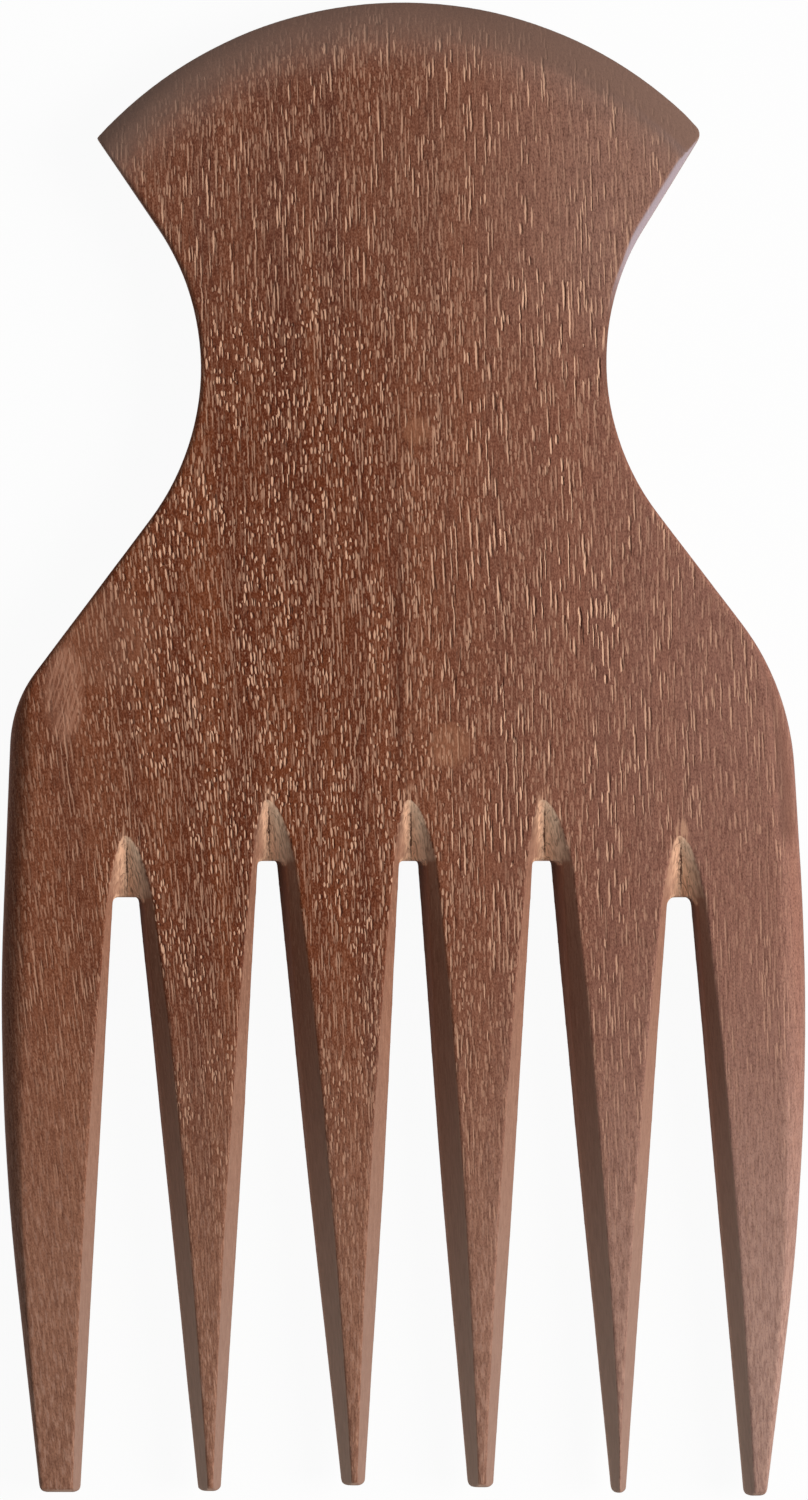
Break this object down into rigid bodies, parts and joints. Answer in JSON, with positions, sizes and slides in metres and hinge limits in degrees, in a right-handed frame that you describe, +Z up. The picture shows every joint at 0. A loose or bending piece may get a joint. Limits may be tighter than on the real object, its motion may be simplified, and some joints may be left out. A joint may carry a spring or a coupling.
{
  "type": "afro pick",
  "caption": "Flat wooden afro pick with a fan-shaped head, a narrow waist to hold it by, a wide shoulder and long tapering tines that lift and part hair.",
  "frame": {"origin": "on the surface that the comb lies on, under the middle of its bounding box", "axes": "+X across the comb to the right as its face is seen with the head up, +Y along the comb towards the head, +Z up out of the comb's face"},
  "size_m": [0.086, 0.16, 0.009],
  "materials": {
    "wood": "sanded reddish-brown hardwood with pale open pores, lightly oiled"
  },
  "bodies": {
    "root": {"head": "wood", "waist": "wood", "shoulder": "wood", "tine_1": "wood", "tine_2": "wood", "tine_3": "wood", "tine_4": "wood", "tine_5": "wood", "tine_6": "wood"}
  },
  "joints": []
}
